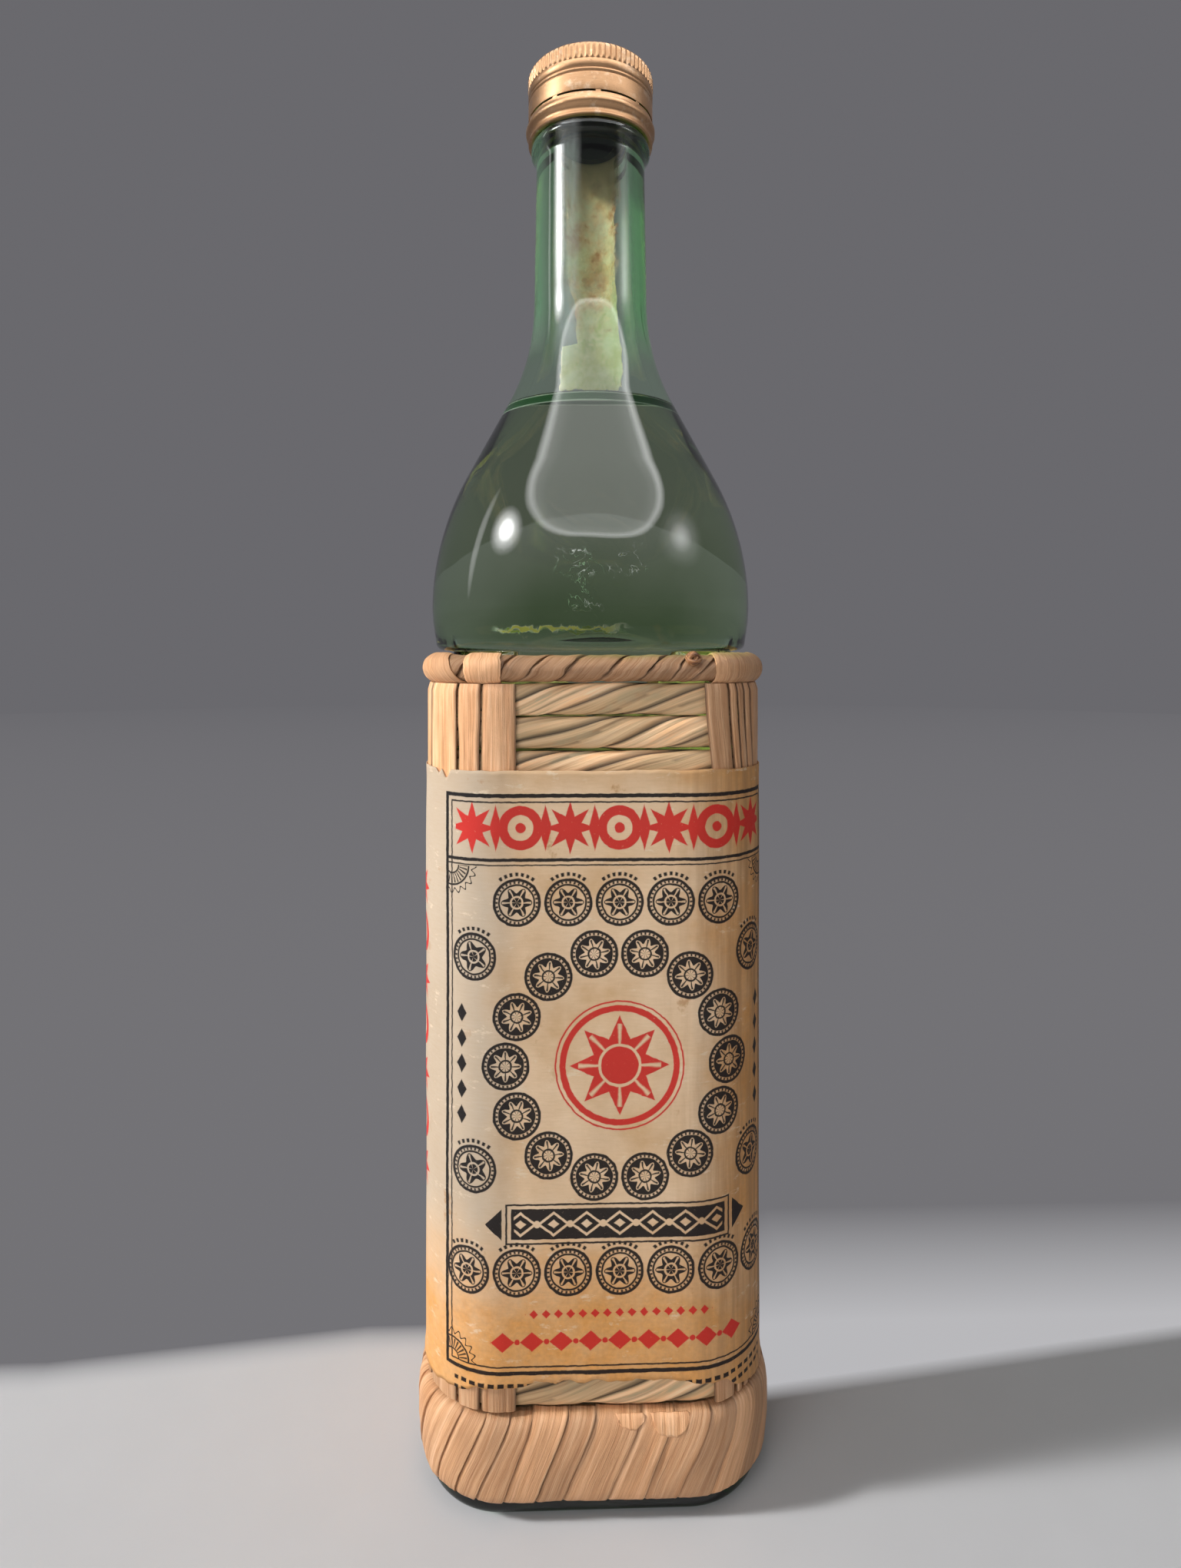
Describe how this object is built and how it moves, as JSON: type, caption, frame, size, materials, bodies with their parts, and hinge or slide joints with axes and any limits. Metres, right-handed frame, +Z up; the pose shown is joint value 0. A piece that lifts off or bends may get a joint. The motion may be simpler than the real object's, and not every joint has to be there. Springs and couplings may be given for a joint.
{
  "type": "liqueur bottle",
  "caption": "Square glass liqueur bottle with a round shoulder, in a woven straw cover with a paper label, closed by a screw cap with a tamper band.",
  "frame": {"origin": "centre of the base, on the plane that the bottle stands on", "axes": "+Z up along the bottle's axis, -Y out of the front label face, +X to the label's right"},
  "size_m": [0.0808, 0.0809, 0.329],
  "materials": {
    "glass": "clear dark green bottle glass",
    "liqueur": "clear liquid",
    "black_plastic": "black moulded plastic",
    "liner": "white foamed plastic",
    "gold_aluminium": "gold lacquered sheet, satin",
    "seal_paper": "aged paper",
    "label_paper": "aged cream paper with printed ornament",
    "rush": "dry twisted rush",
    "husk": "dry husk strip",
    "knot_husk": "dark twisted husk"
  },
  "bodies": {
    "bottle": {"glass_bottle": "glass", "liqueur": "liqueur", "pourer_insert": "black_plastic", "neck_seal": "seal_paper", "label": "label_paper", "rush_winding": "rush", "rim_core": "rush", "rim_wrap": "husk", "rim_knot": "knot_husk", "straps_front_left": "husk", "straps_front_right": "husk", "straps_back_left": "husk", "straps_back_right": "husk", "cuff_front_left": "husk", "cuff_front_right": "husk", "cuff_back_left": "husk", "cuff_back_right": "husk", "strap_fold": "husk", "base_core": "rush", "base_wrap": "husk", "base_flaps": "husk"},
    "liner": {"cap_liner": "liner"},
    "cap": {"cap_shell": "gold_aluminium"},
    "band": {"tamper_band": "gold_aluminium"}
  },
  "joints": [
    {"name": "cap_lift", "type": "slide", "parent": "bottle", "child": "liner", "axis": [0, 0, 1], "range_m": [0, 0.0105]},
    {"name": "cap_turn", "type": "hinge", "parent": "liner", "child": "cap", "pos_m": [0, 0, 0.323], "axis": [0, 0, 1], "range_deg": [0, 1170]},
    {"name": "band_spin", "type": "hinge", "parent": "bottle", "child": "band", "pos_m": [0, 0, 0.314], "axis": [0, 0, 1], "continuous": true}
  ],
  "couplings": [
    {"joint": "cap_lift", "follows": "cap_turn", "m_per_rad": 0.0005093}
  ]
}
